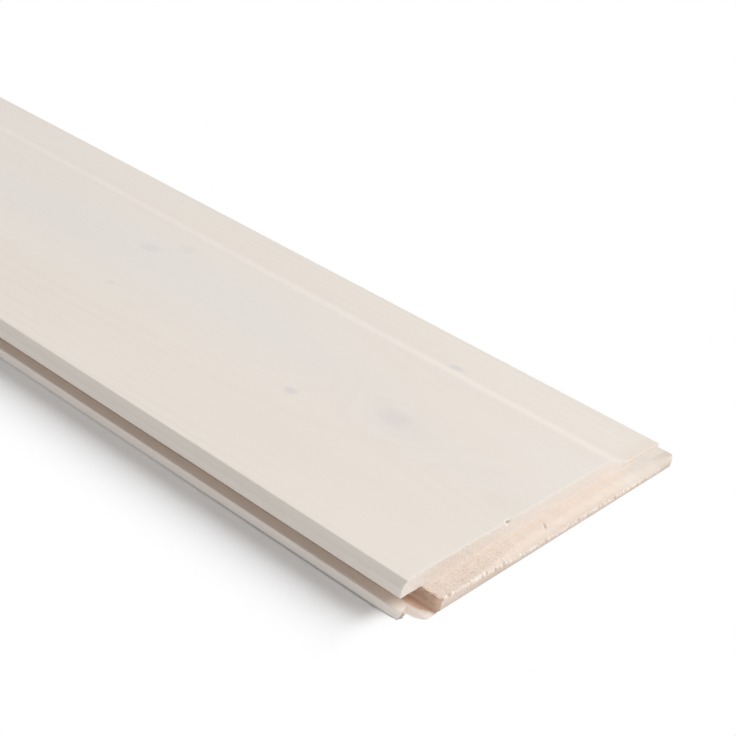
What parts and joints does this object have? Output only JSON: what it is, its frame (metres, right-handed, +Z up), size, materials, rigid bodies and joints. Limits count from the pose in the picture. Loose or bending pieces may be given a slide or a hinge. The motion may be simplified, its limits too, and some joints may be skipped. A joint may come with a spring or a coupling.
{
  "type": "tongue and groove board",
  "caption": "Softwood panel board with a side groove, a wide recessed shelf ending in a side tongue, and matched tongue and groove ends, for cladding walls and ceilings.",
  "frame": {"origin": "middle of the board's length and overall width, on its back face", "axes": "+X along the length towards the end tongue, +Y across the width towards the side tongue, +Z up out of the painted face"},
  "size_m": [2.07, 0.12, 0.012],
  "materials": {
    "painted_spruce": "thin white paint over planed spruce, raw wood on the milled ends and in the grooves"
  },
  "bodies": {
    "root": {"board": "painted_spruce"}
  },
  "joints": []
}
